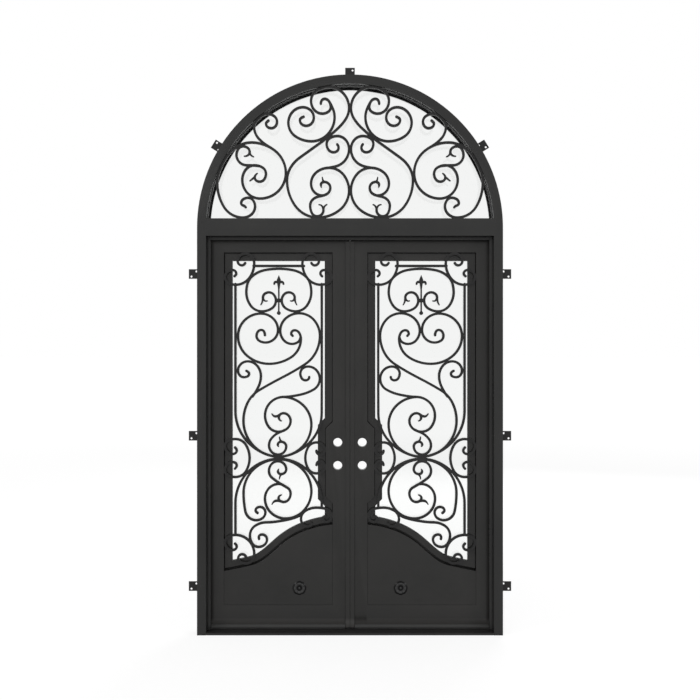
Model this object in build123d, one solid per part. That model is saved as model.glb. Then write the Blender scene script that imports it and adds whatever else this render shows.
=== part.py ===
from build123d import *
import math
import os

# Double entry door of welded steel with a round-top transom.
# +Z is up, +Y points indoors, and the origin is the centre of the sill's underside.
# Everything is in millimetres.

# Frame
frame_width = 1829.0
side_height = 2438.4
frame_depth = 152.0
frame_face = 53.5
rail_drop = 49.4
rail_height = 104.5
sill_thickness = 15.0
stop_width = 17.5
stop_thickness = 22.0
seal_thickness = 4.5
seal_width = 12.0
seal_gap = 0.5

# Leaves
leaf_thickness = 57.0
side_gap = 5.0
head_gap = 5.0
foot_gap = 7.0
meeting_gap = 9.0
hinge_stile_width = 90.0
meeting_stile_width = 101.5
top_rail_height = 86.0
bottom_rail_height = 135.0
lock_box_reach = 42.0
lock_box_foot = 775.0
lock_box_head = 1270.0
bore_radius = 27.0
bore_backset = 70.0
bore_lower = 1004.0
bore_spacing = 140.0

# Curved top of the kick panel, measured at the two stiles
kick_low = 363.0
kick_high = 645.0
kick_recess = 3.0
# Its line: share of the recess's width, share of the rise, heading in degrees
kick_line = [(0.0, 0.0, 9.0), (0.25, 0.12, 13.0), (0.42, 0.345, 41.0), (0.51, 0.53, 42.0), (1.0, 1.0, 5.0)]

# Glazed sash behind the scrollwork
sash_setback = 25.0
sash_gap = 2.0
sash_foot_gap = 11.5
sash_band = 46.5
sash_band_top = 46.0
sash_band_foot = 37.5
sash_lip = 6.0
sash_lip_overlap = 12.0
sash_seat_gap = 0.3
pane_setback = 8.0
pane_thickness = 18.0
rebate = 10.0

# Scrollwork
bar_width = 13.0
bar_depth = 14.0
spear_stem = 7.0
spear_ball_radius = 10.5
spear_arm_start = 11.0
spear_arm_end = 9.0
scroll_setback = 2.0
scroll_fit = 0.2
transom_scroll_setback = 10.0
tip_width = 5.0

# Drawing grids on which the scrolls are laid out, x to the right and y down
leaf_grid_axis = 278.3
leaf_grid_width = 108.56
leaf_grid_top = 252.6
leaf_grid_height = 318.2
scroll_axis = 278.8
transom_grid_axis = 350.0
transom_grid_half = 143.8
transom_grid_foot = 218.6
transom_grid_height = 134.6

# Transom glazing
liner_setback = 33.0
liner_thickness = 3.0
gasket_setback = 86.0
gasket_thickness = 7.0
gasket_depth = 4.0
transom_pane = 20.0
bead_width = 12.0
bead_depth = 12.0

# Trim on the leaves
edge_bar_reach = 27.0
edge_bar_gap = 0.5
edge_bar_thickness = 5.5
edge_bar_top_gap = 20.0
drip_sill_gap = 2.0
drip_height = 23.0
drip_proud = 12.5
drip_chamfer = 11.0
drip_end_gap = 2.0
sweep_thickness = 6.0
sweep_gap = 0.6

# Ornament on the kick panel
rosette_offset = 201.5  # from the recess's right edge, while the recess is kick_pattern_width wide
kick_pattern_width = 660.0
rosette_z = 260.5
rosette_radius = 42.0
rosette_rim = 2.5
rosette_shoulder = 7.0
rosette_shoulder_radius = 35.0
rosette_crest = 9.0
rosette_crest_radius = 27.0
rosette_cup_radius = 14.0
rosette_cup_floor = 3.0
rosette_boss_radius = 8.0
petal_count = 8
petal_groove = 4.0
petal_groove_depth = 1.6
petal_groove_start = 6.0
petal_notch = 8.0
petal_notch_out = 4.8
relief_width = 9.0
relief_depth = 2.0

# Door hinges
hinge_count = 4
hinge_radius = 10.5
hinge_offset = 11.0
hinge_from_top = 180.0
hinge_from_foot = 250.0
knuckle_length = 70.0
hinge_pin_radius = 6.0
hinge_pin_length = 50.0
hinge_pin_clearance = 0.05
hinge_pin_end_gap = 4.0
knuckle_gap = 0.3
flag_reach = 39.0
flag_thickness = 6.0

# Sash hinges
sash_hinge_count = 3
sash_hinge_radius = 6.0
sash_hinge_out = 8.0
sash_hinge_end = 220.0
sash_knuckle = 32.0
sash_knuckle_gap = 2.0
sash_pin_radius = 3.0
sash_pin_length = 22.0
sash_pin_end_gap = 3.0
sash_flag_reach = 26.0
sash_lip_flag_reach = 34.0
sash_flag_thickness = 4.0

# Wall lugs
lug_reach = 61.0
lug_width = 58.0
lug_thickness = 5.0
lug_hole_radius = 6.0
lug_hole_outer = 45.0
lug_hole_inner = 15.0
lug_hole_offset = 15.5
lug_root = 2.0
lug_heights = [277.0, 1187.0, 2166.0]
lug_angle = 32.0

# How far a cutting shape reaches past what it cuts
beyond = 200.0

# Derived places
front = -frame_depth / 2
back = frame_depth / 2
arch_outer = frame_width / 2
arch_inner = arch_outer - frame_face
arch_z = side_height
rail_bottom = side_height - rail_drop
rail_top = rail_bottom + rail_height
leaf_back = back
leaf_front = leaf_back - leaf_thickness
stop_back = leaf_front - seal_thickness - seal_gap
stop_front = stop_back - stop_thickness
leaf_foot = sill_thickness + foot_gap
leaf_head = rail_bottom - head_gap
hinge_edge = -(arch_inner - side_gap)
meeting_edge = -meeting_gap / 2
recess_left = hinge_edge + hinge_stile_width
recess_right = meeting_edge - meeting_stile_width
recess_head = leaf_head - top_rail_height
recess_foot = leaf_foot + bottom_rail_height
recess_centre = (recess_left + recess_right) / 2
sash_front = leaf_front + sash_setback
sash_back = leaf_back + sash_seat_gap
hinge_x = -(arch_inner - side_gap / 2)
hinge_y = leaf_back + hinge_offset
sash_hinge_x = recess_left - sash_lip_overlap - sash_hinge_out
sash_hinge_y = leaf_back + sash_knuckle_gap + sash_hinge_radius
rosette_x = recess_right - rosette_offset * (recess_right - recess_left) / kick_pattern_width


def plate(face, near, far):
    """Solid between the depths near and far over a face drawn in X and Z."""
    return Plane.XZ * (Pos(0, 0, -far) * extrude(face, far - near))


def outline(points):
    return make_face(Polyline(*points, close=True))


def rect(x0, z0, x1, z1):
    return outline([(x0, z0), (x1, z0), (x1, z1), (x0, z1)])


def block(x0, x1, y0, y1, z0, z1):
    return plate(rect(x0, z0, x1, z1), y0, y1)


def mirrored(shape):
    return mirror(shape, about=Plane.YZ)


def write(name, *solids):
    whole = solids[0] if len(solids) == 1 else Compound(children=list(solids))
    export_step(whole, "parts/" + name + ".step")


# Planar paths: each span between two knots is a pair of tangent arcs.

def turn(vector, degrees):
    c, s = unit(degrees)
    return (vector[0] * c - vector[1] * s, vector[0] * s + vector[1] * c)


def unit(degrees):
    return (math.cos(math.radians(degrees)), math.sin(math.radians(degrees)))


def arc_between(a, ta, b):
    """Start, middle and end of the arc that leaves a along ta and ends at b, each with its tangent."""
    cx, cy = b[0] - a[0], b[1] - a[1]
    half = math.atan2(ta[0] * cy - ta[1] * cx, ta[0] * cx + ta[1] * cy)
    sweep = math.degrees(half) * 2
    if abs(sweep) < 0.4:
        middle = ((a[0] + b[0]) / 2, (a[1] + b[1]) / 2)
        return [(a, ta), (middle, turn(ta, sweep / 2)), (b, turn(ta, sweep))]
    radius = math.hypot(cx, cy) / (2 * math.sin(half))
    centre = (a[0] - ta[1] * radius, a[1] + ta[0] * radius)
    arm = turn((a[0] - centre[0], a[1] - centre[1]), sweep / 2)
    middle = (centre[0] + arm[0], centre[1] + arm[1])
    return [(a, ta), (middle, turn(ta, sweep / 2)), (b, turn(ta, sweep))]


def biarc(a, ha, b, hb):
    ta, tb = unit(ha), unit(hb)
    vx, vy = b[0] - a[0], b[1] - a[1]
    vv = vx * vx + vy * vy
    vt = vx * (ta[0] + tb[0]) + vy * (ta[1] + tb[1])
    same = 2 * (1 - (ta[0] * tb[0] + ta[1] * tb[1]))
    if same < 1e-6:
        reach = vv / (2 * vt)
    else:
        reach = (-vt + math.sqrt(vt * vt + same * vv)) / same
    joint = (
        (a[0] + b[0] + reach * (ta[0] - tb[0])) / 2,
        (a[1] + b[1] + reach * (ta[1] - tb[1])) / 2,
    )
    first = arc_between(a, ta, joint)
    return [first, arc_between(joint, first[2][1], b)]


def side(points, left):
    """Edges through the offset points of each arc, to the left for +1 and to the right for -1."""
    edges = []
    for arc, widths in points:
        p = []
        for (spot, tangent), width in zip(arc, widths):
            p.append((spot[0] - tangent[1] * left * width / 2, spot[1] + tangent[0] * left * width / 2))
        bow = (p[1][0] - p[0][0]) * (p[2][1] - p[0][1]) - (p[1][1] - p[0][1]) * (p[2][0] - p[0][0])
        span = math.hypot(p[2][0] - p[0][0], p[2][1] - p[0][1])
        if abs(bow) < 0.002 * span * span:
            edges.append(Line(p[0], p[2]))
        else:
            edges.append(ThreePointArc(p[0], p[1], p[2]))
    return edges


def ribbon(place, knots, start=None, end=None, bar=bar_width):
    """A flat bar along the knots, given as (x, y, heading) on the drawing grid."""
    spots = [place(*knot) for knot in knots]
    pieces = []
    for (x0, z0, h0), (x1, z1, h1) in zip(spots, spots[1:]):
        pieces += biarc((x0, z0), h0, (x1, z1), h1)
    count = len(pieces)
    first = bar if start is None else start
    last = bar if end is None else end
    points = []
    for index, arc in enumerate(pieces):
        widths = []
        for step in (0.0, 0.5, 1.0):
            place_along = index + step
            opening = min(1.0, place_along / 2)
            closing = min(1.0, (count - place_along) / 2)
            widths.append(min(first + (bar - first) * opening, last + (bar - last) * closing))
        points.append((arc, widths))
    left, right = side(points, 1), side(points, -1)
    begin, finish = points[0][0][0], points[-1][0][2]
    back_cap = (begin[0][0] - begin[1][0] * first / 2, begin[0][1] - begin[1][1] * first / 2)
    front_cap = (finish[0][0] + finish[1][0] * last / 2, finish[0][1] + finish[1][1] * last / 2)
    caps = [
        ThreePointArc(left[-1] @ 1, front_cap, right[-1] @ 1),
        ThreePointArc(right[0] @ 0, back_cap, left[0] @ 0),
    ]
    return make_face(left + right + caps)


def fused(shapes):
    whole = shapes[0]
    for shape in shapes[1:]:
        whole = whole + shape
    return whole


def drawing(grid_x, grid_y, x_there, z_there, wide, high):
    """Turns the drawing grid's x and y into X and Z, with headings to match."""
    def place(x, y, heading):
        a = math.radians(heading)
        turned = math.degrees(math.atan2(high * math.sin(a), wide * math.cos(a)))
        return x_there + (x - grid_x) * wide, z_there - (y - grid_y) * high, turned

    return place


# Frame

def arch_region(radius, foot):
    """Half disc about the arch centre carried down to foot."""
    disc = Pos(0, arch_z) * Circle(radius)
    half = disc & rect(-radius - 1, arch_z, radius + 1, arch_z + radius + 1)
    if foot >= arch_z:
        return half
    return half + rect(-radius, foot, radius, arch_z)


def build_frame():
    jamb = block(-arch_outer, -arch_inner, front, back, 0, arch_z)
    write("jamb_left", jamb)
    write("jamb_right", mirrored(jamb))
    ring = arch_region(arch_outer, arch_z) - arch_region(arch_inner, arch_z - 1)
    write("arch_head", plate(ring, front, back))
    inside = arch_region(arch_inner, rail_bottom)
    rail = rect(-arch_inner, rail_bottom, arch_inner, rail_top)
    write("transom_rail", plate(rail & inside, front, back))
    write("sill", block(-arch_inner, arch_inner, front, back, 0, sill_thickness))
    stop_in = arch_inner - stop_width
    head_edge = rail_bottom - stop_width
    stop = block(-arch_inner, -stop_in, stop_front, stop_back, sill_thickness, rail_bottom)
    write("stop_left", stop)
    write("stop_right", mirrored(stop))
    write("stop_head", block(-stop_in, stop_in, stop_front, stop_back, head_edge, rail_bottom))
    seal_out = stop_in + seal_width
    seal_back = stop_back + seal_thickness
    seal = block(-seal_out, -stop_in, stop_back, seal_back, sill_thickness, head_edge)
    head_seal = block(-seal_out, seal_out, stop_back, seal_back, head_edge, head_edge + seal_width)
    write("weatherstrip", fused([seal, head_seal, mirrored(seal)]))


def lug(holes_up):
    """Wall lug drawn with its root at the origin, reaching along -X."""
    body = rect(-lug_reach, -lug_width / 2, lug_root, lug_width / 2)
    outer = Pos(-lug_hole_outer, -lug_hole_offset * holes_up) * Circle(lug_hole_radius)
    inner = Pos(-lug_hole_inner, lug_hole_offset * holes_up) * Circle(lug_hole_radius)
    return body - outer - inner


def build_lugs():
    low, high = -lug_thickness / 2, lug_thickness / 2
    left = []
    for height in lug_heights:
        outside = rect(-arch_outer - beyond, 0, -arch_outer, arch_z)
        left.append(plate(Pos(-arch_outer, height) * lug(1) & outside, low, high))
    write("wall_lugs_left", *left)
    write("wall_lugs_right", *[mirrored(piece) for piece in left])
    arch = []
    for angle in (lug_angle, 90.0, 180.0 - lug_angle):
        face = Pos(0, arch_z) * Rot(0, 0, angle - 180) * (Pos(-arch_outer, 0) * lug(-1))
        arch.append(plate(face - Pos(0, arch_z) * Circle(arch_outer), low, high))
    write("wall_lugs_arch", *arch)


# Transom

def transom_opening(inset):
    """Opening over the transom rail, inset all round."""
    return arch_region(arch_inner - inset, arch_z - rail_height) & rect(
        -arch_outer, rail_top + inset, arch_outer, arch_z + arch_outer)


def build_transom():
    liner_front = front + liner_setback
    gasket_front = front + gasket_setback
    pane_front = gasket_front + gasket_depth
    bead_front = pane_front + transom_pane
    whole = transom_opening(0)
    write("transom_liner", plate(whole - transom_opening(liner_thickness), liner_front, gasket_front))
    write("transom_gasket", plate(whole - transom_opening(gasket_thickness), gasket_front, pane_front))
    write("transom_glass", plate(whole, pane_front, bead_front))
    write("transom_bead", plate(whole - transom_opening(bead_width), bead_front, bead_front + bead_depth))
    wide = arch_inner / transom_grid_half
    high = (arch_z + arch_inner - rail_top) / transom_grid_height
    place = drawing(transom_grid_axis, transom_grid_foot, 0, rail_top, wide, high)
    half = fused([ribbon(place, *shape) for shape in transom_scrolls()])
    trimmed = (half + mirror(half, about=Plane.YZ)) & transom_opening(scroll_fit)
    scroll_front = front + transom_scroll_setback
    write("transom_scrollwork", plate(trimmed, scroll_front, scroll_front + bar_depth))


def transom_scrolls():
    """Left half of the transom's scrolls on the drawing grid, x to the right and y down."""
    t = tip_width
    return [
        # outer C with its two rolled ends
        ([(245.6, 207.2, 130), (241.1, 203.2, 90), (248.0, 197.8, 0), (255.0, 206.5, 270),
          (242.9, 217.6, 180), (217.1, 182.8, 90)],),
        ([(217.1, 182.8, 90), (223.7, 161.3, 62), (251.4, 142.5, 0),
          (285.8, 173.1, 270), (260.1, 198.6, 180), (242.2, 180.0, 90), (254.6, 165.3, 0),
          (265.9, 173.8, 270), (259.6, 181.7, 180), (254.6, 177.3, 90)],),
        ([(254.7, 178.0, 95), (257.3, 173.4, 30)], None, t),
        ([(254.9, 179.0, 110), (249.8, 180.9, 215)], None, t),
        # small roll on the C's inner end
        ([(258.5, 166.0, 172), (247.0, 165.3, 180), (236.4, 155.0, 90), (242.9, 146.3, 0),
          (249.6, 152.0, 270)],),
        ([(249.6, 152.0, 270), (244.2, 156.3, 180)], None, t),
        ([(249.6, 152.0, 270), (253.5, 156.7, 345)], None, t),
        # S that rises to the arch
        ([(270.5, 147.6, 152), (254.0, 126.5, 90), (258.9, 118.0, 46), (266.9, 113.8, 0),
          (277.0, 121.8, 270), (271.2, 128.2, 180), (266.0, 123.8, 90), (268.4, 120.6, 40)],),
        # roll shared by the next two scrolls
        ([(320.8, 103.6, 90), (324.6, 98.8, 0), (330.7, 106.5, 275), (322.4, 113.6, 180),
          (311.0, 101.0, 90), (326.5, 86.9, 6), (349.05, 108.0, 270), (339.0, 127.3, 224),
          (299.5, 157.8, 216), (287.0, 180.5, 270), (318.0, 217.6, 0), (349.05, 190.5, 90),
          (329.0, 167.8, 180), (311.0, 183.8, 270), (322.2, 195.5, 0), (330.3, 187.8, 90),
          (324.2, 181.9, 180)],),
        ([(329.8, 102.5, 300), (334.6, 117.0, 270), (311.4, 141.3, 180), (288.3, 122.8, 90),
          (302.9, 107.2, 0), (313.8, 117.6, 270), (306.1, 125.8, 180), (299.9, 120.2, 90),
          (303.6, 116.7, 20)],),
        ([(325.0, 182.0, 175), (322.3, 177.4, 95)], None, t),
        ([(324.2, 181.9, 180), (320.9, 184.8, 270), (321.3, 187.3, 290)], None, t),
        # S at the foot of the circle
        ([(327.0, 193.9, 210), (319.5, 196.4, 188), (310.1, 205.8, 270), (317.2, 216.3, 0),
          (323.4, 210.2, 90)],),
        ([(323.4, 210.2, 90), (318.9, 204.7, 180)], None, t),
        ([(323.4, 210.2, 90), (326.9, 204.6, 20)], None, t),
        # roll beside the centre line
        ([(337.2, 144.4, 315), (338.6, 147.8, 270), (333.6, 152.3, 180), (326.6, 144.0, 90),
          (337.2, 136.0, 0), (349.05, 149.0, 270), (336.0, 166.3, 195), (326.0, 168.1, 185)],),
    ]


# Leaves

def kick_path(shift=0.0):
    """Knots of the kick panel's curved top, moved along its normal by shift."""
    width, climb = recess_right - recess_left, kick_high - kick_low
    knots = [(recess_left + width * x, kick_low + climb * z, heading) for x, z, heading in kick_line]
    arcs = []
    for (x0, z0, h0), (x1, z1, h1) in zip(knots, knots[1:]):
        arcs += biarc((x0, z0), h0, (x1, z1), h1)
    return side([(arc, [2 * shift] * 3) for arc in arcs], 1), knots


def above_kick(shift):
    """Region over the curved line, wider than the recess."""
    edges, knots = kick_path(shift)
    first, last = edges[0] @ 0, edges[-1] @ 1
    a, b = unit(knots[0][2]), unit(knots[-1][2])
    start = (first.X - a[0] * beyond, first.Y - a[1] * beyond)
    stop = (last.X + b[0] * beyond, last.Y + b[1] * beyond)
    top_right, top_left = (stop[0], leaf_head + beyond), (start[0], leaf_head + beyond)
    sides = [Line(stop, top_right), Line(top_right, top_left), Line(top_left, start)]
    return make_face([Line(start, first)] + edges + [Line(last, stop)] + sides)


def lock_region(grow):
    """Lock box with its two chamfered ends, grown by a margin on the recess side."""
    inner = recess_right - lock_box_reach - grow
    spread = grow * (math.sqrt(2) - 1)
    foot, head = lock_box_foot - spread - grow, lock_box_head + spread + grow
    reach = lock_box_reach + grow
    return outline([
        (recess_right, foot), (recess_right + beyond, foot), (recess_right + beyond, head),
        (recess_right, head), (inner, head - reach), (inner, foot + reach),
    ])


def recess_face(inset, head_inset, rise):
    """Opening of the left leaf inside its rails, inset from the stiles, the top rail and the curve."""
    box = rect(recess_left + inset, recess_foot - beyond, recess_right - inset, recess_head - head_inset)
    return (box & above_kick(rise)) - lock_region(inset)


def build_leaf(name, turn_over):
    def keep(node, *solids):
        write(node + "_" + name, *[mirrored(solid) if turn_over else solid for solid in solids])

    build_rails(keep)
    build_leaf_trim(keep)
    build_sash(keep)
    build_hinges(keep)
    build_sash_hinges(keep)


def build_rails(keep):
    def bar(x0, x1, z0, z1):
        return block(x0, x1, leaf_front, leaf_back, z0, z1)

    keep("hinge_stile", bar(hinge_edge, recess_left, leaf_foot, leaf_head))
    keep("meeting_stile_lower", bar(recess_right, meeting_edge, leaf_foot, lock_box_foot))
    keep("meeting_stile_upper", bar(recess_right, meeting_edge, lock_box_head, leaf_head))
    keep("top_rail", bar(recess_left, recess_right, recess_head, leaf_head))
    keep("bottom_rail", bar(recess_left, recess_right, leaf_foot, recess_foot))
    chamfered = lock_region(0) & rect(recess_right - beyond, leaf_foot, meeting_edge, leaf_head)
    bores = bore_faces()
    keep("lock_box", plate(chamfered - bores[0] - bores[1], leaf_front, leaf_back))
    panel = rect(recess_left, recess_foot, recess_right, recess_head) - above_kick(0)
    keep("kick_panel", plate(panel, leaf_front + kick_recess, leaf_back))


def build_leaf_trim(keep):
    scroll_front = leaf_front + scroll_setback
    keep("scrollwork", plate(leaf_scroll_face(), scroll_front, scroll_front + bar_depth))
    keep("edge_bar", block(
        -edge_bar_reach, -edge_bar_gap, leaf_front - edge_bar_thickness, leaf_front,
        leaf_foot, leaf_head - edge_bar_top_gap,
    ))
    drip_foot = sill_thickness + drip_sill_gap
    drip = block(
        -arch_inner + stop_width + drip_end_gap, -edge_bar_reach - drip_end_gap,
        leaf_front - drip_proud, leaf_front, drip_foot, drip_foot + drip_height,
    )
    slope = drip.edges().filter_by(Axis.X).group_by(Axis.Z)[-1].sort_by(Axis.Y)[0]
    keep("drip_bar", chamfer(slope, drip_chamfer))
    keep("sweep", block(
        hinge_edge, meeting_edge, leaf_front, leaf_front + sweep_thickness,
        sill_thickness + sweep_gap, leaf_foot,
    ))
    panel_front = leaf_front + kick_recess
    keep("rosette", Plane.XZ * (Pos(rosette_x, rosette_z, -panel_front) * rosette()))
    keep("kick_scrolls", plate(kick_scroll_face(), panel_front - relief_depth, panel_front))


def bore_faces():
    x = meeting_edge - bore_backset
    return [Pos(x, bore_lower + bore_spacing * i) * Circle(bore_radius) for i in (0, 1)]


def build_sash(keep):
    outer = recess_face(sash_gap, sash_gap, sash_foot_gap)
    opening = glass_opening(0)
    seat = glass_opening(rebate)
    pane_front = sash_front + pane_setback
    pane_back = pane_front + pane_thickness
    lip = recess_face(-sash_lip_overlap, -sash_lip_overlap, -sash_lip_overlap)
    keep("sash", fused([
        plate(outer - opening, sash_front, pane_front),
        plate(outer - seat, pane_front, sash_back),
        plate(lip - seat, sash_back, sash_back + sash_lip),
    ]))
    keep("glass", plate(seat, pane_front, pane_back))
    keep("glass_bead", plate(seat - opening, pane_back, sash_back + sash_lip))


def glass_opening(grow):
    inset = sash_gap + sash_band - grow
    return recess_face(inset, sash_gap + sash_band_top - grow, sash_foot_gap + sash_band_foot - grow)


def knuckle(x, y, radius, z0, z1):
    return Pos(x, y, z0) * extrude(Circle(radius), z1 - z0)


def hinge_heights():
    low, high = leaf_foot + hinge_from_foot, leaf_head - hinge_from_top
    return [low + (high - low) * i / (hinge_count - 1) for i in range(hinge_count)]


def build_hinges(keep):
    frame_half, leaf_half = [], []
    x, y = hinge_x, hinge_y
    for z in hinge_heights():
        pin = knuckle(x, y, hinge_pin_radius, z, z + hinge_pin_length)
        flag = block(x - flag_reach, x, back, back + flag_thickness, z - knuckle_length, z)
        frame_half.append(knuckle(x, y, hinge_radius, z - knuckle_length, z) + flag + pin)
        low, high = z + knuckle_gap, z + knuckle_length
        bore_end = z + hinge_pin_length + hinge_pin_end_gap
        bore = knuckle(x, y, hinge_pin_radius + hinge_pin_clearance, low, bore_end)
        flag = block(x, x + flag_reach, leaf_back, leaf_back + flag_thickness, low, high)
        leaf_half.append(knuckle(x, y, hinge_radius, low, high) + flag - bore)
    keep("frame_hinges", *frame_half)
    keep("leaf_hinges", *leaf_half)


def build_sash_hinges(keep):
    leaf_side, sash_side = [], []
    x, y = sash_hinge_x, sash_hinge_y
    low, high = kick_high + sash_hinge_end, recess_head - sash_hinge_end
    leaf_flag_back = leaf_back + sash_flag_thickness
    lip_back = sash_back + sash_lip
    for i in range(sash_hinge_count):
        z = low + (high - low) * i / (sash_hinge_count - 1)
        pin = knuckle(x, y, sash_pin_radius, z, z + sash_pin_length)
        flag = block(x - sash_flag_reach, x, leaf_back, leaf_flag_back, z - sash_knuckle, z)
        leaf_side.append(knuckle(x, y, sash_hinge_radius, z - sash_knuckle, z) + flag + pin)
        bottom, top = z + knuckle_gap, z + sash_knuckle
        bore_end = z + sash_pin_length + sash_pin_end_gap
        bore = knuckle(x, y, sash_pin_radius + hinge_pin_clearance, bottom, bore_end)
        flag = block(x, x + sash_lip_flag_reach, lip_back, lip_back + sash_flag_thickness, bottom, top)
        sash_side.append(knuckle(x, y, sash_hinge_radius, bottom, top) + flag - bore)
    keep("sash_hinges_fixed", *leaf_side)
    keep("sash_hinges_moving", *sash_side)


def leaf_drawing():
    wide = (recess_right - recess_left) / leaf_grid_width
    high = (recess_head - kick_low) / leaf_grid_height
    return drawing(leaf_grid_axis, leaf_grid_top, recess_centre, recess_head, wide, high)


def leaf_scroll_face():
    place = leaf_drawing()
    faces = [ribbon(place, *shape) for shape in leaf_scrolls()] + spear_faces(place)
    return fused(faces) & recess_face(scroll_fit, scroll_fit, scroll_fit)


def flipped(shapes, axis):
    """The same bars turned over about the vertical line x = axis."""
    turned = []
    for shape in shapes:
        knots = [(2 * axis - x, y, 180 - heading) for x, y, heading in shape[0]]
        turned.append((knots,) + tuple(shape[1:]))
    return turned


def leaf_scrolls():
    """Scrolls of the left leaf on the drawing grid, x to the right and y down."""
    t = tip_width
    corner = [
        ([(245.2, 263.0, 240), (241.9, 265.3, 180), (237.7, 261.2, 90), (245.4, 253.6, 0),
          (254.2, 263.4, 270), (235.8, 284.7, 180), (225.0, 277.0, 90), (232.7, 270.0, 0),
          (236.2, 273.6, 270), (234.5, 276.2, 225)],),
    ]
    lyre = [
        ([(278.8, 268.7, 180), (252.0, 276.4, 222), (246.3, 292.1, 270), (262.0, 311.3, 0),
          (275.9, 300.5, 90), (268.8, 292.3, 180), (262.9, 297.5, 270)],),
        ([(262.9, 297.0, 270), (260.8, 304.8, 235)], None, t),
        ([(262.9, 297.0, 270), (267.2, 300.8, 25)], None, t),
    ]
    upper = [
        ([(235.4, 284.0, 270), (235.4, 411.0, 270), (278.8, 457.0, 355)],),
        ([(321.7, 284.0, 270), (321.7, 413.0, 270), (278.8, 457.0, 185)],),
        ([(253.5, 265.9, 0), (304.0, 265.9, 0)],),
        # big scroll on the left with its second roll on the right
        ([(264.9, 335.2, 90), (261.3, 329.9, 180), (256.5, 335.8, 270), (265.4, 342.5, 0),
          (278.0, 330.0, 90), (260.9, 313.5, 180), (238.0, 336.0, 270), (269.1, 363.8, 0),
          (300.9, 339.0, 90), (294.5, 330.2, 180), (291.2, 333.8, 270), (292.6, 335.8, 300)],),
        # scroll on the right that runs down the diagonal to the knot
        ([(300.3, 338.0, 262), (292.0, 343.9, 180), (280.2, 330.7, 90), (299.1, 313.2, 0),
          (319.9, 335.7, 270), (304.9, 364.3, 213), (259.1, 390.2, 211), (243.4, 420.7, 270),
          (278.8, 456.6, 0)],),
        # small rolls below them
        ([(246.4, 370.8, 330), (249.0, 373.8, 270), (243.9, 377.2, 180), (238.0, 370.6, 90),
          (247.7, 361.3, 0), (260.9, 376.0, 270), (252.6, 396.5, 235)],),
        ([(309.2, 377.0, 270), (305.6, 380.3, 180), (300.3, 373.5, 90), (308.1, 366.5, 0),
          (319.8, 378.8, 270), (300.5, 394.6, 192), (283.4, 396.9, 181), (265.0, 415.5, 270),
          (278.4, 431.7, 0), (290.6, 421.0, 90), (283.4, 413.2, 180), (279.4, 415.4, 240)],),
        ([(281.5, 413.6, 205), (275.5, 416.4, 180), (271.8, 413.8, 125)], None, t),
        ([(280.2, 414.3, 235), (278.9, 418.2, 285), (281.5, 420.9, 355)], None, t),
        ([(282.5, 396.9, 0), (311.4, 424.5, 270), (278.8, 456.6, 180)],),
        # small S above the knot
        ([(284.6, 429.9, 212), (276.3, 434.0, 213), (269.0, 445.3, 270), (278.0, 454.6, 0),
          (286.2, 446.4, 90), (281.0, 441.7, 180), (277.8, 444.6, 270), (278.6, 446.5, 310)], None, t),
        ([(282.2, 441.9, 155), (279.4, 437.0, 95)], None, t),
    ]
    lower = [
        ([(278.8, 458.8, 180), (235.4, 503.0, 270), (235.4, 534.0, 270)],),
        ([(278.8, 458.8, 0), (321.7, 503.0, 270), (321.7, 508.0, 270)],),
        ([(278.6, 469.3, 230), (277.9, 471.2, 270), (281.0, 474.1, 0), (286.2, 469.4, 90),
          (278.0, 461.2, 180), (268.9, 470.9, 270), (279.5, 483.1, 328), (290.6, 493.6, 270),
          (283.6, 502.0, 180), (279.0, 500.2, 150)], t),
        ([(282.2, 473.9, 205), (279.4, 478.8, 265)], None, t),
        ([(280.4, 501.2, 160), (275.5, 500.9, 195), (272.0, 504.2, 245)], None, t),
        ([(280.2, 501.0, 145), (278.6, 497.4, 80), (281.5, 494.9, 15)], None, t),
        ([(278.8, 459.2, 0), (311.4, 491.2, 270), (285.5, 518.5, 180), (264.9, 498.5, 90),
          (278.8, 483.9, 0), (286.5, 487.3, 322)],),
        ([(278.8, 459.2, 180), (243.5, 493.0, 270), (256.3, 520.2, 0), (265.4, 512.4, 90),
          (259.9, 506.9, 180), (255.6, 510.3, 270), (257.6, 513.0, 320)],),
        # bar that runs off the circle to the lower roll
        ([(303.5, 512.6, 222), (284.5, 520.3, 190), (266.5, 522.3, 180), (249.9, 535.5, 270),
          (258.6, 546.9, 0), (267.0, 539.4, 90), (262.0, 534.5, 180), (258.8, 537.0, 270),
          (259.1, 538.9, 290)],),
    ]
    sides = [
        ([(235.0, 447.4, 315), (236.7, 450.6, 270), (232.6, 454.0, 180), (225.0, 446.0, 90),
          (235.4, 439.0, 0), (249.6, 458.0, 270), (235.4, 477.0, 180), (225.0, 470.0, 90),
          (232.6, 462.0, 0), (236.7, 465.4, 270), (235.0, 468.6, 225)],),
        ([(316.4, 450.8, 270), (320.3, 454.6, 0), (324.7, 449.5, 90), (316.5, 442.4, 180),
          (305.3, 457.9, 270), (316.5, 473.4, 0), (324.7, 467.0, 90), (320.3, 461.0, 180),
          (316.5, 464.9, 270)],),
        ([(311.5, 523.5, 270), (307.5, 526.2, 180), (301.0, 519.0, 90), (316.5, 507.6, 0),
          (331.5, 515.5, 270), (326.3, 521.8, 180), (322.8, 518.5, 90), (325.4, 516.2, 0)],),
        ([(235.0, 543.6, 315), (236.7, 546.6, 270), (232.6, 550.0, 180), (225.0, 542.2, 90),
          (235.4, 534.9, 0), (254.2, 553.5, 270), (246.3, 563.2, 180), (238.2, 558.2, 90),
          (242.1, 554.2, 0), (246.0, 557.8, 270)],),
    ]
    corners = corner + flipped(corner, leaf_grid_axis)
    return corners + lyre + flipped(lyre, scroll_axis) + upper + lower + sides


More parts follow.
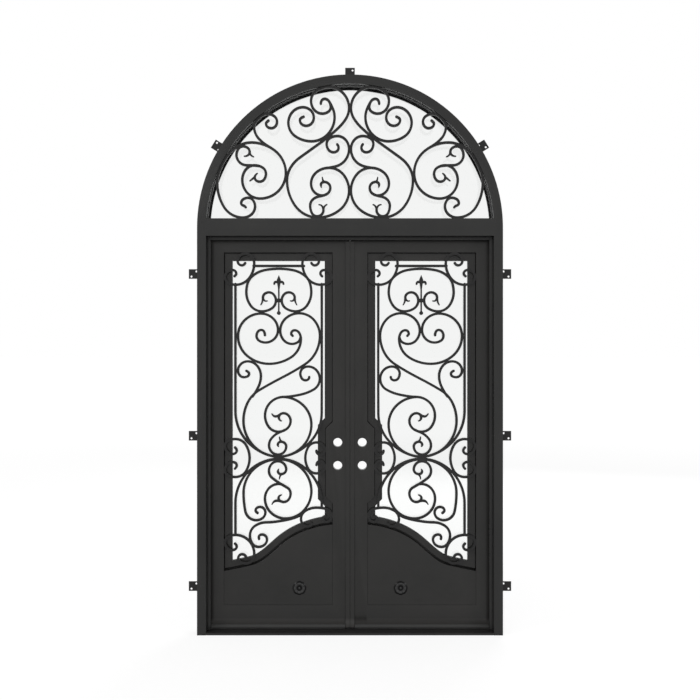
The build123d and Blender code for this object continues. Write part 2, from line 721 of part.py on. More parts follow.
def spear_faces(place):
    def at(right, y):
        return place(scroll_axis + right, y, 0)[:2]

    blade = outline([at(0, 275.2), at(-1.9, 280.0), at(-0.7, 283.2), at(0.7, 283.2), at(1.9, 280.0)])
    neck = outline([at(-1.5, 282.6), at(1.5, 282.6), at(0.6, 288.5), at(-0.6, 288.5)])
    collar = outline([at(-3.9, 298.7), at(3.9, 298.7), at(3.9, 302.2), at(-3.9, 302.2)])
    top, foot = at(0, 286.0), at(0, 313.0)
    stem = rect(top[0] - spear_stem / 2, foot[1], top[0] + spear_stem / 2, top[1])
    ball = Pos(*foot) * Circle(spear_ball_radius)
    arms = []
    for way in (-1, 1):
        knots = [
            (scroll_axis, 283.8, 90 + 10 * way),
            (scroll_axis + 3.0 * way, 281.9, 90 - 90 * way),
            (scroll_axis + 4.6 * way, 284.0, 270),
        ]
        arms.append(ribbon(place, knots, spear_arm_start, spear_arm_end))
    return [blade, neck, stem, ball, collar] + arms


# Ornament on the kick panel

def layer(foot_radius, top_radius, foot, top):
    return Pos(0, 0, foot) * Cone(
        foot_radius, top_radius, top - foot, align=(Align.CENTER, Align.CENTER, Align.MIN))


def rosette():
    """Pressed flower with its back on the plane z = 0, its petals parted by grooves and notches."""
    upright = (Align.CENTER, Align.CENTER, Align.MIN)
    flower = Cylinder(rosette_radius, rosette_rim, align=upright)
    flower = flower + layer(rosette_radius, rosette_shoulder_radius, rosette_rim, rosette_shoulder)
    flower = flower + layer(rosette_shoulder_radius, rosette_crest_radius, rosette_shoulder, rosette_crest)
    flower = flower - layer(rosette_cup_radius, rosette_crest_radius, rosette_cup_floor, rosette_crest)
    boss = Pos(0, 0, rosette_cup_floor) * Sphere(rosette_boss_radius)
    flower = flower + (boss & Cylinder(rosette_radius, rosette_crest * 3, align=upright))
    spokes = [Rot(0, 0, 360.0 * (i + 0.5) / petal_count) for i in range(petal_count)]
    notch = Pos(rosette_radius + petal_notch_out, 0, 0) * Cylinder(petal_notch, rosette_crest * 3)
    for spoke in spokes:
        flower = flower - spoke * notch
    blade = Box(petal_groove, petal_groove, rosette_radius, align=upright)
    groove_start = Pos(rosette_cup_radius + petal_groove_start, 0, rosette_crest - petal_groove_depth)
    groove = groove_start * Rot(0, 90, 0) * Rot(0, 0, 45) * blade
    for spoke in spokes:
        flower = flower - spoke * groove
    return flower


def kick_scroll_face():
    place = leaf_drawing()
    paths = [
        # arc over the rosette with its small roll
        [(318.5, 590.5, 90), (311.0, 571.8, 128), (299.5, 566.6, 180), (288.0, 571.6, 216),
         (277.5, 580.3, 222), (272.0, 582.7, 180), (268.3, 579.1, 90), (271.9, 575.6, 0),
         (274.9, 578.3, 270)],
        # S with a roll at each end, in two halves
        [(285.0, 594.6, 90), (281.6, 591.0, 180), (276.8, 595.2, 270), (282.7, 600.2, 0),
         (289.2, 593.2, 90), (280.5, 585.0, 180), (267.5, 590.0, 214)],
        [(267.5, 590.0, 214), (247.5, 599.4, 180), (239.2, 591.3, 90), (247.2, 583.8, 0),
         (253.8, 590.0, 270), (248.6, 594.6, 180), (244.6, 591.4, 90)],
    ]
    end = relief_width / 2
    return fused([ribbon(place, path, end, end, relief_width) for path in paths])


os.makedirs("parts", exist_ok=True)
build_frame()
build_lugs()
build_transom()
build_leaf("left", False)
build_leaf("right", True)
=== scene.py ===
import math

import bmesh
import bpy
from mathutils import Matrix, Vector


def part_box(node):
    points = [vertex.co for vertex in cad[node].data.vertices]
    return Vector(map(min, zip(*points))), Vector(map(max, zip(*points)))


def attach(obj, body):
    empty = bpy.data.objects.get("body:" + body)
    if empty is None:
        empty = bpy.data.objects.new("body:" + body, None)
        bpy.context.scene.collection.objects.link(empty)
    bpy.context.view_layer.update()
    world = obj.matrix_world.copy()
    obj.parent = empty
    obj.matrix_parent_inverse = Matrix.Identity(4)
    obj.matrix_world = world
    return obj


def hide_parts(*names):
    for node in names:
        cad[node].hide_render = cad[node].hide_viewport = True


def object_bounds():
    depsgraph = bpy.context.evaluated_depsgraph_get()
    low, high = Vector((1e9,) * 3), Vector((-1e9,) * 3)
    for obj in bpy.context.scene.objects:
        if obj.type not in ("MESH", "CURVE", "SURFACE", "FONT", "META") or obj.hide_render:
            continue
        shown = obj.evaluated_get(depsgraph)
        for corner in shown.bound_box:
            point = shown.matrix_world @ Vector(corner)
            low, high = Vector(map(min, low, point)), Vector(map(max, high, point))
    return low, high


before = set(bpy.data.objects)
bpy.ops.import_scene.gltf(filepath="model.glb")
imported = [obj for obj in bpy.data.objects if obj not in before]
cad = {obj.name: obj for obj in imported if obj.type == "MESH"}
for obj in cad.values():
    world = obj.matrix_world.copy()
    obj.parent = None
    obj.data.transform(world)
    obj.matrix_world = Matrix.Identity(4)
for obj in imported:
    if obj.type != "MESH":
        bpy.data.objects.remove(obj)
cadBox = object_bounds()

print("frame loaded with", len(cad), "nodes")

# Camera, square on to the doors
cameraLook = {"lens": 50.0, "distance": 5.81, "height": 1.706}


def addCamera(look):
    data = bpy.data.cameras.new("frontCamera")
    data.lens = look["lens"]
    camera = bpy.data.objects.new("frontCamera", data)
    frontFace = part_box("arch_head")[0].y
    camera.location = (0.0, frontFace - look["distance"], look["height"])
    camera.rotation_euler = (math.radians(90), 0.0, 0.0)
    bpy.context.scene.collection.objects.link(camera)
    bpy.context.scene.camera = camera


addCamera(cameraLook)


# Small helpers for node trees
def screenColour(red, green, blue):
    channels = [((c / 255 + 0.055) / 1.055) ** 2.4 for c in (red, green, blue)]
    return (*channels, 1.0)


def addNode(tree, kind, inputs=None, **settings):
    node = tree.nodes.new(kind)
    for key, value in settings.items():
        setattr(node, key, value)
    for key, value in (inputs or {}).items():
        if isinstance(value, bpy.types.NodeSocket):
            tree.links.new(value, node.inputs[key])
        else:
            node.inputs[key].default_value = value
    return node


def maths(tree, operation, first, second=0.0):
    return addNode(tree, "ShaderNodeMath", {0: first, 1: second}, operation=operation).outputs[0]


def spread(tree, value, low, high, newLow=0.0, newHigh=1.0):
    inputs = {"Value": value, "From Min": low, "From Max": high, "To Min": newLow, "To Max": newHigh}
    return addNode(tree, "ShaderNodeMapRange", inputs).outputs[0]


def blendColour(tree, factor, first, second):
    mix = addNode(tree, "ShaderNodeMix", data_type="RGBA")
    for index, value in ((0, factor), (6, first), (7, second)):
        if isinstance(value, bpy.types.NodeSocket):
            tree.links.new(value, mix.inputs[index])
        else:
            mix.inputs[index].default_value = value
    return mix.outputs[2]


def newGroup(name, inputs, outputs):
    group = bpy.data.node_groups.new(name, "ShaderNodeTree")
    for label, value in inputs:
        socket = group.interface.new_socket(label, in_out="INPUT", socket_type="NodeSocketFloat")
        socket.default_value = value
    for label in outputs:
        group.interface.new_socket(label, in_out="OUTPUT", socket_type="NodeSocketFloat")
    return group, group.nodes.new("NodeGroupInput").outputs, group.nodes.new("NodeGroupOutput").inputs


# Shared effects of the finishes
def makeSprayCoat():
    # orange peel, fine grit and the soft clouds of a sprayed coat
    given = [("Cloud Scale", 2.5), ("Grit Scale", 900.0), ("Peel Scale", 260.0)]
    group, inputs, outputs = newGroup("sprayCoat", given, ["Cloud", "Grit", "Height"])
    place = addNode(group, "ShaderNodeTexCoord").outputs["Object"]
    cloud = addNode(group, "ShaderNodeTexNoise", {
        "Vector": place, "Scale": inputs["Cloud Scale"], "Detail": 4.0, "Roughness": 0.6})
    grit = addNode(group, "ShaderNodeTexNoise", {
        "Vector": place, "Scale": inputs["Grit Scale"], "Detail": 2.0, "Roughness": 0.7})
    peel = addNode(group, "ShaderNodeTexNoise", {
        "Vector": place, "Scale": inputs["Peel Scale"], "Detail": 1.0, "Roughness": 0.4})
    group.links.new(spread(group, cloud.outputs[0], 0.3, 0.7), outputs["Cloud"])
    group.links.new(spread(group, grit.outputs[0], 0.3, 0.7), outputs["Grit"])
    height = maths(group, "ADD", peel.outputs[0], maths(group, "MULTIPLY", grit.outputs[0], 0.35))
    group.links.new(height, outputs["Height"])
    return group


def makeEdgeWearAndHighlight():
    # corners where the coat is thin and burnished, broken up by noise; the same mask also carries a painted
    # edge highlight on the forged bars and the sill
    group, inputs, outputs = newGroup("edgeWearAndHighlight", [("Radius", 0.002), ("Patch Scale", 14.0)], ["Mask"])
    rounded = addNode(group, "ShaderNodeBevel", {"Radius": inputs["Radius"]}, samples=8).outputs[0]
    true = addNode(group, "ShaderNodeNewGeometry").outputs["Normal"]
    agree = addNode(group, "ShaderNodeVectorMath", {0: rounded, 1: true}, operation="DOT_PRODUCT")
    edge = spread(group, agree.outputs["Value"], 0.985, 0.82)
    place = addNode(group, "ShaderNodeTexCoord").outputs["Object"]
    patch = addNode(group, "ShaderNodeTexNoise", {
        "Vector": place, "Scale": inputs["Patch Scale"], "Detail": 3.0, "Roughness": 0.65}).outputs[0]
    group.links.new(maths(group, "MULTIPLY", edge, spread(group, patch, 0.35, 0.65)), outputs["Mask"])
    return group


def makeForgeMarks():
    # shallow hammer facets and scale on hot-worked bar
    group, inputs, outputs = newGroup("forgeMarks", [("Facet Scale", 55.0)], ["Facet", "Height"])
    place = addNode(group, "ShaderNodeTexCoord").outputs["Object"]
    facet = addNode(group, "ShaderNodeTexVoronoi", {
        "Vector": place, "Scale": inputs["Facet Scale"], "Smoothness": 0.8},
        feature="SMOOTH_F1").outputs["Distance"]
    fine = maths(group, "MULTIPLY", inputs["Facet Scale"], 6.0)
    scale = addNode(group, "ShaderNodeTexNoise", {"Vector": place, "Scale": fine, "Detail": 3.0}).outputs[0]
    group.links.new(spread(group, facet, 0.1, 0.6), outputs["Facet"])
    group.links.new(maths(group, "ADD", facet, maths(group, "MULTIPLY", scale, 0.4)), outputs["Height"])
    return group


sprayCoat = makeSprayCoat()
edgeWearAndHighlight = makeEdgeWearAndHighlight()
forgeMarks = makeForgeMarks()
print("shared effects built")


# Finishes
def newFinish(name):
    material = bpy.data.materials.new(name)
    material.use_nodes = True
    return material, material.node_tree, material.node_tree.nodes["Principled BSDF"]


paintLook = {"rubAndHighlight": 0.4, "burnish": 0.15, "peelDepth": 0.0004, "specular": 0.25}
steelLook = {
    "frameSteel": {
        "dark": (36, 36, 36), "light": (41, 41, 40), "rubbedAndHighlight": (62, 61, 60),
        "rough": (0.16, 0.26), "peel": 0.03},
    "leafSteel": {
        "dark": (35, 35, 34), "light": (41, 40, 39), "rubbedAndHighlight": (60, 59, 58),
        "rough": (0.18, 0.28), "peel": 0.03,
        "paintedFootLight": (58, 57, 56), "paintedLightTop": 0.080, "paintedLightFoot": 0.058},
    # sill: the bright corner tone is wear on its front edge and also a painted highlight along that edge
    "sillSteel": {
        "dark": (26, 25, 25), "light": (34, 33, 32), "rubbedAndHighlight": (128, 124, 118),
        "rough": (0.24, 0.40), "peel": 0.06},
    # drip bar: a lighter copy of the leaf paint, a painted highlight for the light its top catches
    "dripSteelPaintedLight": {
        "dark": (46, 46, 46), "light": (51, 51, 50), "rubbedAndHighlight": (70, 69, 68),
        "rough": (0.20, 0.30), "peel": 0.03},
    # stops: a lighter copy of the frame paint, painted light that lifts the shade in the deep recess
    "stopSteelPaintedLight": {
        "dark": (42, 42, 42), "light": (47, 47, 46), "rubbedAndHighlight": (62, 61, 60),
        "rough": (0.20, 0.30), "peel": 0.03},
    "lugSteel": {
        "dark": (25, 25, 25), "light": (32, 31, 31), "rubbedAndHighlight": (52, 51, 50),
        "rough": (0.32, 0.46), "peel": 0.12},
    "linerSteel": {
        "dark": (12, 12, 12), "light": (17, 17, 17), "rubbedAndHighlight": (34, 34, 33),
        "rough": (0.42, 0.56), "peel": 0.08},
}


def makeSteel(name, look):
    material, tree, shader = newFinish(name)
    coat = addNode(tree, "ShaderNodeGroup", node_tree=sprayCoat)
    edge = addNode(tree, "ShaderNodeGroup", node_tree=edgeWearAndHighlight)
    paint = blendColour(tree, coat.outputs["Cloud"], screenColour(*look["dark"]), screenColour(*look["light"]))
    if "paintedFootLight" in look:
        # painted light on the leaf's foot, just above the sill: a paler tone that lifts the shade the sill and
        # drip bar throw there
        place = addNode(tree, "ShaderNodeTexCoord").outputs["Object"]
        height = addNode(tree, "ShaderNodeSeparateXYZ", {0: place}).outputs["Z"]
        low = spread(tree, height, look["paintedLightFoot"], look["paintedLightTop"], 1.0, 0.0)
        paint = blendColour(tree, low, paint, screenColour(*look["paintedFootLight"]))
    # worn corners; on the sill the same bright tone also paints a highlight along its front edge
    rubAndHighlight = maths(tree, "MULTIPLY", edge.outputs["Mask"], paintLook["rubAndHighlight"])
    paint = blendColour(tree, rubAndHighlight, paint, screenColour(*look["rubbedAndHighlight"]))
    tree.links.new(paint, shader.inputs["Base Color"])
    rough = spread(tree, coat.outputs["Grit"], 0.0, 1.0, *look["rough"])
    rough = maths(tree, "SUBTRACT", rough, maths(tree, "MULTIPLY", rubAndHighlight, paintLook["burnish"]))
    tree.links.new(rough, shader.inputs["Roughness"])
    bump = addNode(tree, "ShaderNodeBump", {
        "Height": coat.outputs["Height"], "Strength": look["peel"], "Distance": paintLook["peelDepth"]})
    tree.links.new(bump.outputs[0], shader.inputs["Normal"])
    shader.inputs["Specular IOR Level"].default_value = paintLook["specular"]
    return material


# forged bars: the lighter corner tone is mostly a painted edge highlight, with some wear
forgedLook = {
    "dark": (24, 24, 24), "light": (33, 32, 32), "rubbedAndHighlight": (54, 53, 52), "rough": (0.30, 0.46),
    "edge": 0.0015, "rubAndHighlight": 0.6, "peel": 0.12, "dent": 0.3, "dentDepth": 0.001,
}


def makeForged(look):
    material, tree, shader = newFinish("forgedBar")
    coat = addNode(tree, "ShaderNodeGroup", node_tree=sprayCoat)
    edge = addNode(tree, "ShaderNodeGroup", {"Radius": look["edge"]}, node_tree=edgeWearAndHighlight)
    marks = addNode(tree, "ShaderNodeGroup", node_tree=forgeMarks)
    tint = maths(tree, "MULTIPLY", marks.outputs["Facet"], coat.outputs["Cloud"])
    paint = blendColour(tree, tint, screenColour(*look["dark"]), screenColour(*look["light"]))
    # painted highlight along the bars' corners, standing in for the light their rounded edges catch, with some
    # wear
    rubAndHighlight = maths(tree, "MULTIPLY", edge.outputs["Mask"], look["rubAndHighlight"])
    paint = blendColour(tree, rubAndHighlight, paint, screenColour(*look["rubbedAndHighlight"]))
    tree.links.new(paint, shader.inputs["Base Color"])
    tree.links.new(spread(tree, coat.outputs["Grit"], 0.0, 1.0, *look["rough"]), shader.inputs["Roughness"])
    peel = addNode(tree, "ShaderNodeBump", {
        "Height": coat.outputs["Height"], "Strength": look["peel"], "Distance": paintLook["peelDepth"]})
    dent = addNode(tree, "ShaderNodeBump", {
        "Height": marks.outputs["Height"], "Strength": look["dent"], "Distance": look["dentDepth"],
        "Normal": peel.outputs[0]})
    tree.links.new(dent.outputs[0], shader.inputs["Normal"])
    shader.inputs["Specular IOR Level"].default_value = paintLook["specular"]
    return material


glassLook = {
    "clear": (0.90, 0.905, 0.90, 1.0), "deep": (0.885, 0.895, 0.888, 1.0), "driftScale": 1.3,
    "ior": 1.5, "haze": 0.012, "waveScale": 4.0, "wave": 0.03, "waveDepth": 0.001,
}


def makeGlass(look):
    material, tree, shader = newFinish("clearGlass")
    place = addNode(tree, "ShaderNodeTexCoord").outputs["Object"]
    drift = addNode(tree, "ShaderNodeTexNoise", {
        "Vector": place, "Scale": look["driftScale"], "Detail": 1.0}).outputs[0]
    tint = blendColour(tree, drift, look["clear"], look["deep"])
    tree.links.new(tint, shader.inputs["Base Color"])
    wave = addNode(tree, "ShaderNodeTexNoise", {
        "Vector": place, "Scale": look["waveScale"], "Detail": 0.0}).outputs[0]
    bump = addNode(tree, "ShaderNodeBump", {
        "Height": wave, "Strength": look["wave"], "Distance": look["waveDepth"]})
    tree.links.new(bump.outputs[0], shader.inputs["Normal"])
    tree.links.new(spread(tree, drift, 0.0, 1.0, 0.0, look["haze"]), shader.inputs["Roughness"])
    shader.inputs["Transmission Weight"].default_value = 1.0
    shader.inputs["IOR"].default_value = look["ior"]
    return material


rubberLook = {
    "dark": (17, 17, 17), "light": (27, 27, 27), "rough": (0.68, 0.86), "specular": 0.3,
    "cloudScale": 9.0, "gritScale": 1400.0, "grain": 0.15, "grainDepth": 0.0003,
}


def makeRubber(look):
    material, tree, shader = newFinish("sealRubber")
    coat = addNode(tree, "ShaderNodeGroup", {
        "Cloud Scale": look["cloudScale"], "Grit Scale": look["gritScale"]}, node_tree=sprayCoat)
    tint = blendColour(tree, coat.outputs["Cloud"], screenColour(*look["dark"]), screenColour(*look["light"]))
    tree.links.new(tint, shader.inputs["Base Color"])
    tree.links.new(spread(tree, coat.outputs["Grit"], 0.0, 1.0, *look["rough"]), shader.inputs["Roughness"])
    bump = addNode(tree, "ShaderNodeBump", {
        "Height": coat.outputs["Grit"], "Strength": look["grain"], "Distance": look["grainDepth"]})
    tree.links.new(bump.outputs[0], shader.inputs["Normal"])
    shader.inputs["Specular IOR Level"].default_value = look["specular"]
    return material


rosetteLook = {
    "centre": (0.3075, 0.0, 0.2605), "rough": (0.24, 0.36), "specular": 0.12,
    # rings of painted shade and painted highlight, by distance from the rosette's middle
    "paintedLightRings": [  # distance from the middle, tone
        (0.000, 66), (0.005, 60), (0.008, 3), (0.016, 5), (0.020, 58), (0.031, 64), (0.034, 10), (0.040, 4)],
}


def makeRosette(look):
    # painted shade in the cup and round the rim, and painted highlights on the boss and the petal ring
    material, tree, shader = newFinish("rosetteSteel")
    place = addNode(tree, "ShaderNodeTexCoord").outputs["Object"]
    folded = addNode(tree, "ShaderNodeVectorMath", {0: place}, operation="ABSOLUTE").outputs[0]
    flat = addNode(tree, "ShaderNodeVectorMath", {0: folded, 1: (1, 0, 1)}, operation="MULTIPLY").outputs[0]
    away = addNode(tree, "ShaderNodeVectorMath", {0: flat, 1: look["centre"]}, operation="DISTANCE")
    reach = look["paintedLightRings"][-1][0]
    ramp = addNode(tree, "ShaderNodeValToRGB", {0: spread(tree, away.outputs["Value"], 0.0, reach)})
    marks = ramp.color_ramp.elements
    for index, (distance, tone) in enumerate(look["paintedLightRings"]):
        mark = marks[index] if index < 2 else marks.new(1.0)
        mark.position, mark.color = distance / reach, screenColour(tone, tone, tone)
    tree.links.new(ramp.outputs["Color"], shader.inputs["Base Color"])
    coat = addNode(tree, "ShaderNodeGroup", node_tree=sprayCoat)
    tree.links.new(spread(tree, coat.outputs["Grit"], 0.0, 1.0, *look["rough"]), shader.inputs["Roughness"])
    shader.inputs["Specular IOR Level"].default_value = look["specular"]
    return material


finishes = {name: makeSteel(name, look) for name, look in steelLook.items()}
finishes["rosetteSteel"] = makeRosette(rosetteLook)
finishes["forgedBar"] = makeForged(forgedLook)
finishes["clearGlass"] = makeGlass(glassLook)
finishes["sealRubber"] = makeRubber(rubberLook)

# The first part of a node's name that fits says its finish
finishOf = [
    ("transom_glass", "clearGlass"), ("transom_gasket", "sealRubber"), ("transom_liner", "linerSteel"),
    ("transom_scrollwork", "forgedBar"), ("scrollwork", "forgedBar"), ("sill", "sillSteel"),
    ("weatherstrip", "sealRubber"), ("sweep", "sealRubber"), ("glass_bead", "leafSteel"),
    ("glass", "clearGlass"), ("jamb", "frameSteel"), ("arch", "frameSteel"), ("transom", "frameSteel"),
    ("stop", "stopSteelPaintedLight"), ("drip_bar", "dripSteelPaintedLight"), ("rosette", "rosetteSteel"), ("wall_lugs", "lugSteel"),
    ("frame_hinges", "frameSteel"), ("", "leafSteel"),
]


def dressNodes():
    for name, node in cad.items():
        finish = next(finish for start, finish in finishOf if name.startswith(start))
        for place in node.material_slots:
            place.material = finishes[finish]


dressNodes()
print("finishes placed on the nodes")


def finishPiece(mesh, name, finish, body):
    data = bpy.data.meshes.new(name)
    mesh.to_mesh(data)
    mesh.free()
    piece = bpy.data.objects.new(name, data)
    bpy.context.scene.collection.objects.link(piece)
    data.materials.append(finishes[finish])
    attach(piece, body)
    return piece


# Copies of CAD nodes, welded into one shell and given soft corners
shellLook = {
    "merge": 0.00001, "flat": 0.3, "sharp": 35.0, "round": 0.0018, "segments": 2,
    "leaf": [
        "hinge_stile", "top_rail", "bottom_rail", "meeting_stile_lower", "meeting_stile_upper", "lock_box"],
    "frame": ["arch_head", "jamb_left", "jamb_right", "transom_rail"],
}


def cleanCopy(node, look):
    mesh = bmesh.new()
    mesh.from_mesh(cad[node].data)
    bmesh.ops.remove_doubles(mesh, verts=mesh.verts, dist=look["merge"])
    bmesh.ops.dissolve_limit(mesh, angle_limit=math.radians(look["flat"]), verts=mesh.verts, edges=mesh.edges)
    data = bpy.data.meshes.new(node + "_copy")
    mesh.to_mesh(data)
    mesh.free()
    copy = bpy.data.objects.new(node + "_copy", data)
    bpy.context.scene.collection.objects.link(copy)
    return copy


def weldedMesh(nodes, look):
    # exact union of the copies, which are deleted again
    copies = [cleanCopy(node, look) for node in nodes]
    for other in copies[1:]:
        union = copies[0].modifiers.new("weld", "BOOLEAN")
        union.operation, union.solver, union.object = "UNION", "EXACT", other
    bpy.context.view_layer.update()
    seen = copies[0].evaluated_get(bpy.context.evaluated_depsgraph_get())
    mesh = bmesh.new()
    mesh.from_mesh(seen.to_mesh())
    for copy in copies:
        data = copy.data
        bpy.data.objects.remove(copy)
        bpy.data.meshes.remove(data)
    return mesh


def softenCorners(mesh, look):
    bmesh.ops.remove_doubles(mesh, verts=mesh.verts, dist=look["merge"])
    bmesh.ops.dissolve_limit(mesh, angle_limit=math.radians(look["flat"]), verts=mesh.verts, edges=mesh.edges)
    sharp = math.radians(look["sharp"])
    corners = [e for e in mesh.edges if e.is_manifold and e.is_convex and e.calc_face_angle() > sharp]
    bmesh.ops.bevel(
        mesh, geom=corners, affect="EDGES", offset=look["round"], segments=look["segments"],
        profile=0.5, material=-1, clamp_overlap=True)
    bmesh.ops.recalc_face_normals(mesh, faces=mesh.faces)
    for face in mesh.faces:
        face.smooth = True
    for edge in mesh.edges:
        edge.smooth = edge.is_manifold and edge.calc_face_angle() < sharp


def addShell(name, nodes, finish, body):
    mesh = weldedMesh(nodes, shellLook)
    softenCorners(mesh, shellLook)
    piece = finishPiece(mesh, name, finish, body)
    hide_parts(*nodes)
    print(name, "has", len(piece.data.polygons), "faces")


addShell("frame_shell", shellLook["frame"], "frameSteel", "frame")
for side in ("left", "right"):
    leafNodes = [node + "_" + side for node in shellLook["leaf"]]
    addShell("leaf_shell_" + side, leafNodes, "leafSteel", "leaf_" + side)

# The grilles: copies of the flat CAD plates with each bar a little wider
grilleLook = {"grow": 0.0012, "wall": 0.5, "mitre": 0.5}


def widenBars(mesh, look):
    # pushes each bar's side walls outwards, further at a corner as a mitre is
    moves = []
    for vert in mesh.verts:
        walls = [face.normal for face in vert.link_faces if abs(face.normal.y) < look["wall"]]
        if walls:
            outward = sum(walls, Vector()).normalized()
            reach = look["grow"] / max(look["mitre"], outward.dot(walls[0]))
            moves.append((vert, outward * reach))
    for vert, move in moves:
        vert.co += move


def addGrille(node, body, look):
    mesh = bmesh.new()
    mesh.from_mesh(cad[node].data)
    bmesh.ops.remove_doubles(mesh, verts=mesh.verts, dist=shellLook["merge"])
    mesh.normal_update()
    widenBars(mesh, look)
    mesh.normal_update()
    torn = sum(not edge.is_manifold for edge in mesh.edges)
    print(node, "holds", round(mesh.calc_volume() * 1e6, 1), "cc, torn edges", torn)
    for face in mesh.faces:
        face.smooth = True
    for edge in mesh.edges:
        edge.smooth = edge.is_manifold and edge.calc_face_angle() < math.radians(shellLook["sharp"])
    piece = finishPiece(mesh, node + "_bars", "forgedBar", body)
    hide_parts(node)
    print(piece.name, "has", len(piece.data.polygons), "faces")


addGrille("transom_scrollwork", "frame", grilleLook)
for side in ("left", "right"):
    addGrille("scrollwork_" + side, "leaf_" + side, grilleLook)

# Nodes that keep their own mesh and get soft corners from modifiers
cornerLook = {
    "edge_bar": 0.0012, "drip_bar": 0.0012, "sill": 0.002, "stop": 0.0012, "kick_panel": 0.0012,
    "frame_hinges": 0.0008, "leaf_hinges": 0.0008, "sash_hinges": 0.0006, "wall_lugs": 0.0008,
    "sash_left": 0.0015, "sash_right": 0.0015, "glass_bead": 0.001, "transom_bead": 0.001,
}


def softenNodes(look):
    for name, node in cad.items():
        width = next((width for start, width in look.items() if name.startswith(start)), None)
        if width is None:
            continue
        node.modifiers.new("merge", "WELD").merge_threshold = shellLook["merge"]
        flat = node.modifiers.new("flat", "DECIMATE")
        flat.decimate_type, flat.angle_limit = "DISSOLVE", math.radians(shellLook["flat"])
        corner = node.modifiers.new("corner", "BEVEL")
        corner.width, corner.segments = width, shellLook["segments"]
        corner.limit_method, corner.angle_limit = "ANGLE", math.radians(shellLook["sharp"])
        corner.harden_normals = True


softenNodes(cornerLook)
print("corners softened")

# Rubber between the two leaves: a bulb on the left one and a blade on the right one
sealLook = {
    "front": 0.021, "back": 0.030, "foot": 0.0158, "head": 2.3832, "sides": 16,
    "bulb": {"left": -0.0045, "right": 0.0012, "body": "leaf_left"},
    "blade": {"left": 0.0014, "right": 0.0045, "body": "leaf_right"},
}


def addMeetingSeal(name, strip, look):
    mesh = bmesh.new()
    width, depth = strip["right"] - strip["left"], look["back"] - look["front"]
    turned = Matrix.Diagonal((width / 2, depth / 2, 1.0, 1.0))
    made = bmesh.ops.create_circle(mesh, cap_ends=True, radius=1.0, segments=look["sides"], matrix=turned)
    middle = ((strip["left"] + strip["right"]) / 2, (look["front"] + look["back"]) / 2, look["foot"])
    bmesh.ops.translate(mesh, vec=middle, verts=made["verts"])
    risen = bmesh.ops.extrude_face_region(mesh, geom=mesh.faces[:])
    top = [v for v in risen["geom"] if isinstance(v, bmesh.types.BMVert)]
    bmesh.ops.translate(mesh, vec=(0, 0, look["head"] - look["foot"]), verts=top)
    bmesh.ops.recalc_face_normals(mesh, faces=mesh.faces)
    finishPiece(mesh, name, "sealRubber", strip["body"])


addMeetingSeal("meeting_seal", sealLook["bulb"], sealLook)
addMeetingSeal("meeting_blade", sealLook["blade"], sealLook)
print("seals added")

# Flat-head screws in the hinge flags, two to a flag
screwLook = {
    "proud": 0.0006, "recess": 0.0011, "bevel": 0.0003, "drive": 0.5, "taper": 0.05, "sides": 20,
    "along": (0.22, 0.78), "inFromEdge": 2.0,
    "hinges": [
        {
            "node": "frame_hinges", "body": "frame", "way": -1,
            "back": 0.082, "height": 0.070, "head": 0.0055},
        {
            "node": "leaf_hinges", "body": "leaf", "way": 1,
            "back": 0.082, "height": 0.070, "head": 0.0055},
        {
            "node": "sash_hinges_fixed", "body": "leaf", "way": -1,
            "back": 0.080, "height": 0.032, "head": 0.0032},
        {
            "node": "sash_hinges_moving", "body": "sash", "way": 1,
            "back": 0.0863, "height": 0.032, "head": 0.0032},
    ],
}


def islandBoxes(node):
    # lowest and highest corner of each separate solid in a node
    mesh = bmesh.new()
    mesh.from_mesh(cad[node].data)
    bmesh.ops.remove_doubles(mesh, verts=mesh.verts, dist=shellLook["merge"])
    left, boxes = set(mesh.verts), []
    while left:
        front = [left.pop()]
        island = list(front)
        while front:
            nearby = {e.other_vert(v) for v in front for e in v.link_edges} & left
            left -= nearby
            front = list(nearby)
            island += front
        low = Vector([min(v.co[i] for v in island) for i in range(3)])
        high = Vector([max(v.co[i] for v in island) for i in range(3)])
        boxes.append((low, high))
    mesh.free()
    return sorted(boxes, key=lambda box: box[0].z)


def addScrew(mesh, spot, radius, look):
    # a disc with a bevelled rim and a sunk drive, facing +Y
    turned = Matrix.Translation(spot) @ Matrix.Rotation(math.radians(-90), 4, "X")
    made = bmesh.ops.create_cone(
        mesh, cap_ends=True, segments=look["sides"], radius1=radius, radius2=radius,
        depth=look["proud"] * 2, matrix=turned)
    faces = {face for vert in made["verts"] for face in vert.link_faces}
    front = max(faces, key=lambda face: face.calc_center_median().y)
    bmesh.ops.inset_individual(mesh, faces=[front], thickness=look["bevel"])
    bmesh.ops.translate(mesh, vec=(0, look["bevel"], 0), verts=front.verts)
    bmesh.ops.inset_individual(mesh, faces=[front], thickness=radius * look["drive"])
    bmesh.ops.inset_individual(mesh, faces=[front], thickness=radius * look["taper"])
    bmesh.ops.translate(mesh, vec=(0, -look["recess"], 0), verts=front.verts)


def addHingeScrews(hinge, side, look):
    mesh = bmesh.new()
    body = hinge["body"] if hinge["body"] == "frame" else hinge["body"] + "_" + side
    way = hinge["way"] if side == "left" else -hinge["way"]
    for low, high in islandBoxes(hinge["node"] + "_" + side):
        edge = low.x if way < 0 else high.x
        for share in look["along"]:
            inside = way * hinge["head"] * look["inFromEdge"]
            spot = (edge - inside, hinge["back"], low.z + hinge["height"] * share)
            addScrew(mesh, spot, hinge["head"], look)
    bmesh.ops.recalc_face_normals(mesh, faces=mesh.faces)
    finishPiece(mesh, "screws_" + hinge["node"] + "_" + side, "leafSteel", body)


for hinge in screwLook["hinges"]:
    for side in ("left", "right"):
        addHingeScrews(hinge, side, screwLook)
print("hinge screws added")

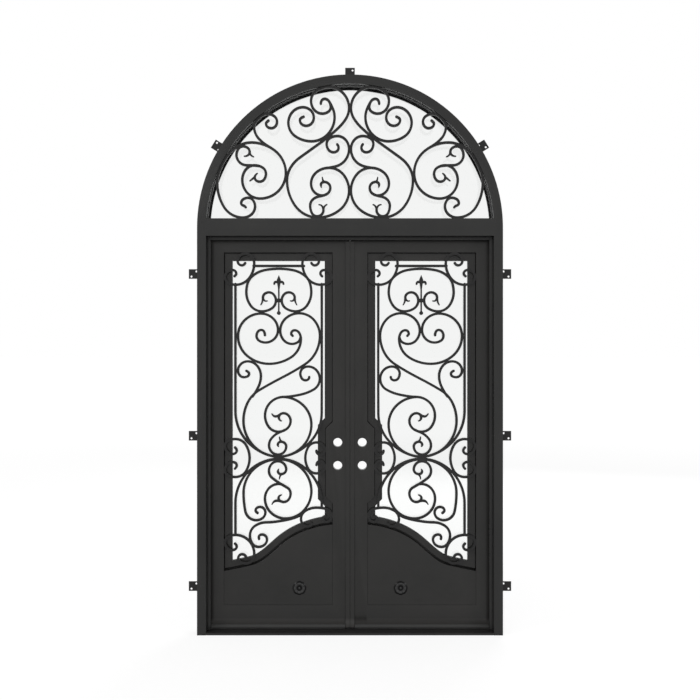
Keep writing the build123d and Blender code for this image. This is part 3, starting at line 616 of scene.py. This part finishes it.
# Studio: pale floor, white surround and soft lamps
studioLook = {
    "fill": 0.36,
    "floorSize": 400.0,
    "floorColour": (0.25, 0.25, 0.25, 1.0),
    "floorRough": 0.9,
    "floorGlow": (0.80, 0.92),  # under the doors, and where the lamps no longer reach
    "glowReach": (2.0, 14.0),
    "lamps": [
        {"name": "frontBox", "at": (-1.2, -7.6, 3.2), "size": 5.0, "power": 250.0, "mirrored": False},
        {"name": "keyBox", "at": (-6.4, -4.6, 5.2), "size": 2.6, "power": 230.0, "mirrored": True},
        {"name": "sideBox", "at": (6.4, -4.2, 3.4), "size": 2.4, "power": 150.0, "mirrored": True},
        {"name": "backBox", "at": (2.2, 6.2, 4.6), "size": 3.6, "power": 260.0, "mirrored": False},
    ],
    "aim": (0.0, 0.0, 1.6),
}


def seenDirectly(tree):
    # 1 for what the camera, a mirror or glass sees
    path = addNode(tree, "ShaderNodeLightPath").outputs
    seen = maths(tree, "MAXIMUM", path["Is Camera Ray"], path["Is Glossy Ray"])
    return maths(tree, "MAXIMUM", seen, path["Is Transmission Ray"])


def addWorld(look):
    world = bpy.data.worlds.new("studioWorld")
    world.use_nodes = True
    bpy.context.scene.world = world
    tree = world.node_tree
    light = tree.nodes["Background"]
    light.inputs["Color"].default_value = (1.0, 1.0, 1.0, 1.0)
    tree.links.new(spread(tree, seenDirectly(tree), 0.0, 1.0, look["fill"], 1.0), light.inputs["Strength"])


def addFloor(look):
    mesh = bmesh.new()
    bmesh.ops.create_grid(mesh, x_segments=1, y_segments=1, size=look["floorSize"] / 2)
    data = bpy.data.meshes.new("studioFloor")
    mesh.to_mesh(data)
    mesh.free()
    floor = bpy.data.objects.new("studioFloor", data)
    floor.location = (0.0, 0.0, cadBox[0][2])
    bpy.context.scene.collection.objects.link(floor)
    material, tree, shader = newFinish("paleFloor")
    shader.inputs["Base Color"].default_value = look["floorColour"]
    shader.inputs["Roughness"].default_value = look["floorRough"]
    shader.inputs["Specular IOR Level"].default_value = 0.0
    shader.inputs["Emission Color"].default_value = (1.0, 1.0, 1.0, 1.0)
    place = addNode(tree, "ShaderNodeTexCoord").outputs["Object"]
    away = addNode(tree, "ShaderNodeVectorMath", {0: place}, operation="LENGTH").outputs["Value"]
    glow = spread(tree, away, *look["glowReach"], *look["floorGlow"])
    tree.links.new(maths(tree, "MULTIPLY", seenDirectly(tree), glow), shader.inputs["Emission Strength"])
    data.materials.append(material)


def addLamp(lamp, aim):
    data = bpy.data.lights.new(lamp["name"], "AREA")
    data.size = lamp["size"]
    data.energy = lamp["power"]
    light = bpy.data.objects.new(lamp["name"], data)
    light.location = lamp["at"]
    light.rotation_euler = (Vector(aim) - light.location).to_track_quat("-Z", "Y").to_euler()
    light.visible_camera = False
    light.visible_transmission = False
    light.visible_glossy = lamp["mirrored"]
    bpy.context.scene.collection.objects.link(light)


addWorld(studioLook)
addFloor(studioLook)
for lamp in studioLook["lamps"]:
    addLamp(lamp, studioLook["aim"])
bpy.context.scene.view_settings.view_transform = "Standard"
print("studio built")
